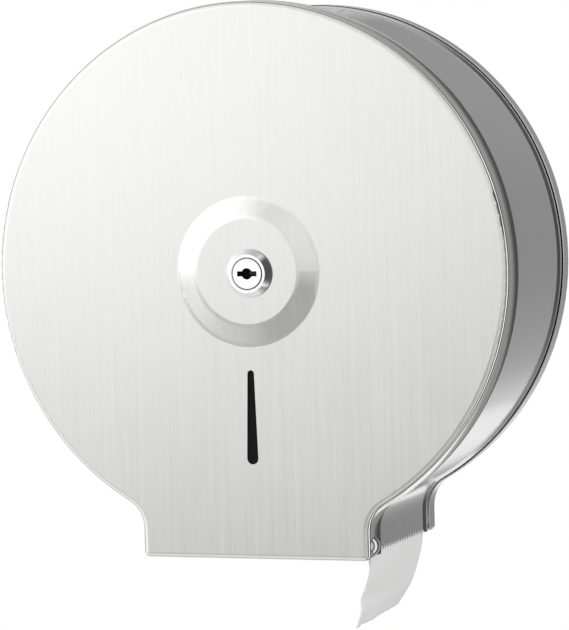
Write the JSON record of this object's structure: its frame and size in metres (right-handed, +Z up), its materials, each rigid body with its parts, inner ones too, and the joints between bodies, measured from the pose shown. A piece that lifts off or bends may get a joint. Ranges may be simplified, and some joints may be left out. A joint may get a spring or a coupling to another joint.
{
  "type": "jumbo toilet roll dispenser",
  "caption": "Round wall-mounted steel drum for a jumbo toilet roll, with a hinged lockable front cover, level slot, toothed tear edge and a hanging paper end.",
  "frame": {"origin": "on the axis of the drum and its spindle, in the plane of the wall, at the centre of the four wall-screw holes", "axes": "+Y into the wall, +Z up, +X to the right for someone facing the dispenser; the front cover faces -Y"},
  "size_m": [0.273, 0.1278, 0.3192],
  "materials": {
    "brushed_steel": "satin",
    "band_steel": "satin",
    "satin_steel": "satin",
    "rivet_steel": "polished",
    "spring_steel": "satin",
    "chrome": "polished",
    "spacer_plastic": "satin",
    "sleeve_plastic": "matte",
    "window_plastic": "gloss",
    "core_board": "matte",
    "tissue": "matte"
  },
  "bodies": {
    "housing": {"back_pan": "satin_steel", "side_band": "band_steel", "band_tabs": "satin_steel", "tab_rivets": "rivet_steel", "hinge_rivets": "rivet_steel", "hinge_spacers": "spacer_plastic", "spindle_foot": "satin_steel", "spindle_rivets": "rivet_steel", "spindle_tube": "satin_steel", "sleeve_ring": "spring_steel", "keeper_cap": "satin_steel", "keeper_screws": "rivet_steel", "paper_tail": "tissue"},
    "cover": {"front_cover": "brushed_steel", "slot_window": "window_plastic", "lock_housing": "chrome", "lock_washer": "spring_steel", "lock_nut": "rivet_steel"},
    "key_plug": {"lock_plug": "chrome", "lock_clip": "spring_steel", "lock_cam": "spring_steel", "cam_screw": "rivet_steel"},
    "roll": {"spindle_sleeve": "sleeve_plastic", "roll_core": "core_board", "paper_roll": "tissue"}
  },
  "joints": [
    {"name": "cover_hinge", "type": "hinge", "parent": "housing", "child": "cover", "pos_m": [0, -0.1119, -0.1391], "axis": [1, 0, 0], "range_deg": [0, 90]},
    {"name": "key_turn", "type": "hinge", "parent": "cover", "child": "key_plug", "pos_m": [0.0016, -0.118, -0.0008], "axis": [0, 1, 0], "range_deg": [0, 90]},
    {"name": "roll_spin", "type": "hinge", "parent": "housing", "child": "roll", "pos_m": [0, -0.06, 0], "axis": [0, 1, 0], "continuous": true}
  ]
}
